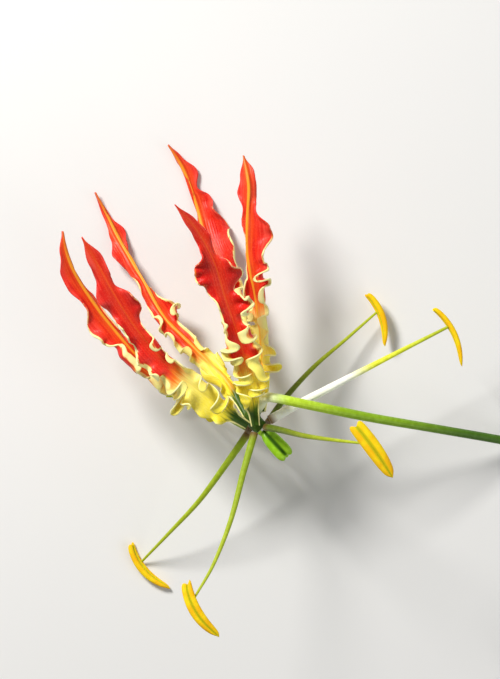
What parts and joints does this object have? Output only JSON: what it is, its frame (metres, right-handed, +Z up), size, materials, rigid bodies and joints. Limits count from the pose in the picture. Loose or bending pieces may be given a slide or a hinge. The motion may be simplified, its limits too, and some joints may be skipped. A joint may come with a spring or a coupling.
{
  "type": "glory lily",
  "caption": "Picked glory lily bloom lying on its side, wavy red and yellow tepals swept back from spread stamens with long anthers, on a hooked green stalk.",
  "frame": {"origin": "on the surface that the bloom lies on, under the middle of its bounding box", "axes": "+Z up from the surface towards the viewer; +X towards the stalk's cut end; +Y towards the tips of the tepals"},
  "size_m": [0.1024, 0.0988, 0.0494],
  "materials": {
    "tepal": "satin",
    "filament": "satin",
    "anther": "matte",
    "stalk": "satin",
    "ovary": "satin",
    "style": "satin"
  },
  "bodies": {
    "root": {"tepal_left_low": "tepal", "tepal_left_front": "tepal", "tepal_left_back": "tepal", "tepal_right_back": "tepal", "tepal_front": "tepal", "tepal_right": "tepal", "filament_left": "filament", "filament_lower": "filament", "filament_front": "filament", "filament_right": "filament", "filament_back": "filament", "filament_under": "filament", "anther_left": "anther", "anther_lower": "anther", "anther_front": "anther", "anther_right": "anther", "anther_back": "anther", "anther_under": "anther", "ovary": "ovary", "style": "style", "stalk": "stalk"}
  },
  "joints": []
}
